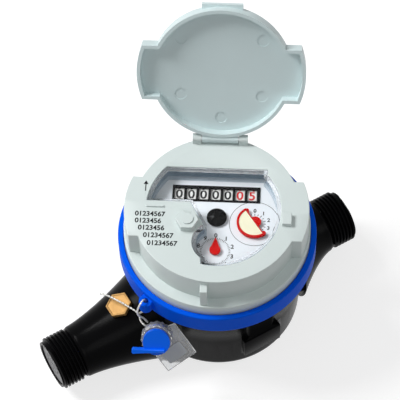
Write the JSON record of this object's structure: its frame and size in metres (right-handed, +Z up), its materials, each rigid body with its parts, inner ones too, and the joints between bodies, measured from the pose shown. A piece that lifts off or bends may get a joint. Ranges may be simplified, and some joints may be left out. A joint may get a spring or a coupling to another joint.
{
  "type": "water meter",
  "caption": "Dry-dial water meter with a threaded composite body, blue lock ring, grey cover with an open hinged lid, counter, pointers and a wired twist seal.",
  "frame": {"origin": "centre of the flat base under the meter's vertical axis", "axes": "+X along the pipe in the direction of flow, +Z up along the meter's axis"},
  "size_m": [0.165, 0.1211, 0.148],
  "materials": {
    "body_black": "satin",
    "strainer_grey": "matte",
    "inner_white": "matte",
    "steel": "satin",
    "magnet": "matte",
    "rubber_black": "matte",
    "plate_grey": "matte",
    "ring_blue": "satin",
    "star_black": "gloss",
    "pointer_red": "gloss",
    "dial_white": "satin",
    "window_clear": "clear gloss",
    "cover_grey": "satin",
    "lid_grey": "satin",
    "seal_clear": "clear gloss",
    "seal_blue": "satin",
    "token_brass": "satin",
    "wire": "twisted",
    "drum_white": "matte",
    "mask_black": "satin"
  },
  "bodies": {
    "meter": {"body": "body_black", "inlet_strainer": "strainer_grey", "chamber_housing": "inner_white", "chamber_cover": "inner_white", "impeller_pin": "steel", "pressure_plate_seal": "rubber_black", "pressure_plate": "plate_grey", "lock_ring": "ring_blue", "register_can": "inner_white", "magnet_shield_ring": "steel", "register_frame": "inner_white", "drum_shaft": "steel", "pinion_shaft": "steel", "dial_plate": "dial_white", "counter_mask": "mask_black", "window": "window_clear", "shroud": "cover_grey", "hinge_pin": "steel", "seal_housing": "seal_clear", "seal_rotor": "seal_blue", "seal_token": "token_brass", "seal_wire_loop": "wire", "seal_wire_tail": "wire"},
    "lid": {"lid": "lid_grey"},
    "impeller": {"impeller": "inner_white", "drive_magnet": "magnet"},
    "star": {"star_arbor": "inner_white", "follower_magnet": "magnet", "star_indicator": "star_black"},
    "small_pointer": {"small_pointer_arbor": "inner_white", "small_pointer": "pointer_red"},
    "idler": {"idler_gear": "inner_white"},
    "large_pointer": {"large_pointer_arbor": "inner_white", "large_pointer": "pointer_red"},
    "number_drum_1": {"number_drum_1": "drum_white"},
    "number_drum_2": {"number_drum_2": "drum_white"},
    "number_drum_3": {"number_drum_3": "drum_white"},
    "number_drum_4": {"number_drum_4": "drum_white"},
    "number_drum_5": {"number_drum_5": "drum_white"},
    "number_drum_6": {"number_drum_6": "drum_white"},
    "number_drum_7": {"number_drum_7": "drum_white"},
    "carry_pinion_1": {"carry_pinion_1": "inner_white"},
    "carry_pinion_2": {"carry_pinion_2": "inner_white"},
    "carry_pinion_3": {"carry_pinion_3": "inner_white"},
    "carry_pinion_4": {"carry_pinion_4": "inner_white"},
    "carry_pinion_5": {"carry_pinion_5": "inner_white"},
    "carry_pinion_6": {"carry_pinion_6": "inner_white"}
  },
  "joints": [
    {"name": "lid_hinge", "type": "hinge", "parent": "meter", "child": "lid", "pos_m": [0.02015, 0.03103, 0.0891], "axis": [-0.8387, 0.5446, 0], "range_deg": [-120, 3]},
    {"name": "impeller_spin", "type": "hinge", "parent": "meter", "child": "impeller", "pos_m": [0, 0, 0.02], "axis": [0, 0, 1], "continuous": true},
    {"name": "star_spin", "type": "hinge", "parent": "meter", "child": "star", "pos_m": [0, 0, 0.06], "axis": [0, 0, 1], "continuous": true},
    {"name": "small_pointer_spin", "type": "hinge", "parent": "meter", "child": "small_pointer", "pos_m": [-0.00952, -0.01465, 0.06], "axis": [0, 0, 1], "continuous": true},
    {"name": "idler_spin", "type": "hinge", "parent": "meter", "child": "idler", "pos_m": [0.00173, -0.02138, 0.058], "axis": [0, 0, 1], "continuous": true},
    {"name": "large_pointer_spin", "type": "hinge", "parent": "meter", "child": "large_pointer", "pos_m": [0.0137, -0.01137, 0.06], "axis": [0, 0, 1], "continuous": true},
    {"name": "drum_1_spin", "type": "hinge", "parent": "meter", "child": "number_drum_1", "pos_m": [0.00708, 0.0109, 0.0688], "axis": [0.8387, -0.5446, 0], "continuous": true},
    {"name": "drum_2_spin", "type": "hinge", "parent": "meter", "child": "number_drum_2", "pos_m": [0.00708, 0.0109, 0.0688], "axis": [0.8387, -0.5446, 0], "continuous": true},
    {"name": "drum_3_spin", "type": "hinge", "parent": "meter", "child": "number_drum_3", "pos_m": [0.00708, 0.0109, 0.0688], "axis": [0.8387, -0.5446, 0], "continuous": true},
    {"name": "drum_4_spin", "type": "hinge", "parent": "meter", "child": "number_drum_4", "pos_m": [0.00708, 0.0109, 0.0688], "axis": [0.8387, -0.5446, 0], "continuous": true},
    {"name": "drum_5_spin", "type": "hinge", "parent": "meter", "child": "number_drum_5", "pos_m": [0.00708, 0.0109, 0.0688], "axis": [0.8387, -0.5446, 0], "continuous": true},
    {"name": "drum_6_spin", "type": "hinge", "parent": "meter", "child": "number_drum_6", "pos_m": [0.00708, 0.0109, 0.0688], "axis": [0.8387, -0.5446, 0], "continuous": true},
    {"name": "drum_7_spin", "type": "hinge", "parent": "meter", "child": "number_drum_7", "pos_m": [0.00708, 0.0109, 0.0688], "axis": [0.8387, -0.5446, 0], "continuous": true},
    {"name": "carry_1_spin", "type": "hinge", "parent": "meter", "child": "carry_pinion_1", "pos_m": [0.01199, 0.01847, 0.06534], "axis": [0.8387, -0.5446, 0], "continuous": true},
    {"name": "carry_2_spin", "type": "hinge", "parent": "meter", "child": "carry_pinion_2", "pos_m": [0.01199, 0.01847, 0.06534], "axis": [0.8387, -0.5446, 0], "continuous": true},
    {"name": "carry_3_spin", "type": "hinge", "parent": "meter", "child": "carry_pinion_3", "pos_m": [0.01199, 0.01847, 0.06534], "axis": [0.8387, -0.5446, 0], "continuous": true},
    {"name": "carry_4_spin", "type": "hinge", "parent": "meter", "child": "carry_pinion_4", "pos_m": [0.01199, 0.01847, 0.06534], "axis": [0.8387, -0.5446, 0], "continuous": true},
    {"name": "carry_5_spin", "type": "hinge", "parent": "meter", "child": "carry_pinion_5", "pos_m": [0.01199, 0.01847, 0.06534], "axis": [0.8387, -0.5446, 0], "continuous": true},
    {"name": "carry_6_spin", "type": "hinge", "parent": "meter", "child": "carry_pinion_6", "pos_m": [0.01199, 0.01847, 0.06534], "axis": [0.8387, -0.5446, 0], "continuous": true}
  ],
  "couplings": [
    {"joint": "star_spin", "follows": "impeller_spin", "ratio": 1},
    {"joint": "small_pointer_spin", "follows": "impeller_spin", "ratio": -0.16667},
    {"joint": "idler_spin", "follows": "impeller_spin", "ratio": 0.066667},
    {"joint": "large_pointer_spin", "follows": "impeller_spin", "ratio": -0.016667},
    {"joint": "drum_1_spin", "follows": "impeller_spin", "ratio": 0.0000000016667},
    {"joint": "drum_2_spin", "follows": "impeller_spin", "ratio": 0.000000016667},
    {"joint": "drum_3_spin", "follows": "impeller_spin", "ratio": 0.00000016667},
    {"joint": "drum_4_spin", "follows": "impeller_spin", "ratio": 0.0000016667},
    {"joint": "drum_5_spin", "follows": "impeller_spin", "ratio": 0.000016667},
    {"joint": "drum_6_spin", "follows": "impeller_spin", "ratio": 0.00016667},
    {"joint": "drum_7_spin", "follows": "impeller_spin", "ratio": 0.0016667},
    {"joint": "carry_1_spin", "follows": "impeller_spin", "ratio": -0.0000000041667},
    {"joint": "carry_2_spin", "follows": "impeller_spin", "ratio": -0.000000041667},
    {"joint": "carry_3_spin", "follows": "impeller_spin", "ratio": -0.00000041667},
    {"joint": "carry_4_spin", "follows": "impeller_spin", "ratio": -0.0000041667},
    {"joint": "carry_5_spin", "follows": "impeller_spin", "ratio": -0.000041667},
    {"joint": "carry_6_spin", "follows": "impeller_spin", "ratio": -0.00041667}
  ]
}
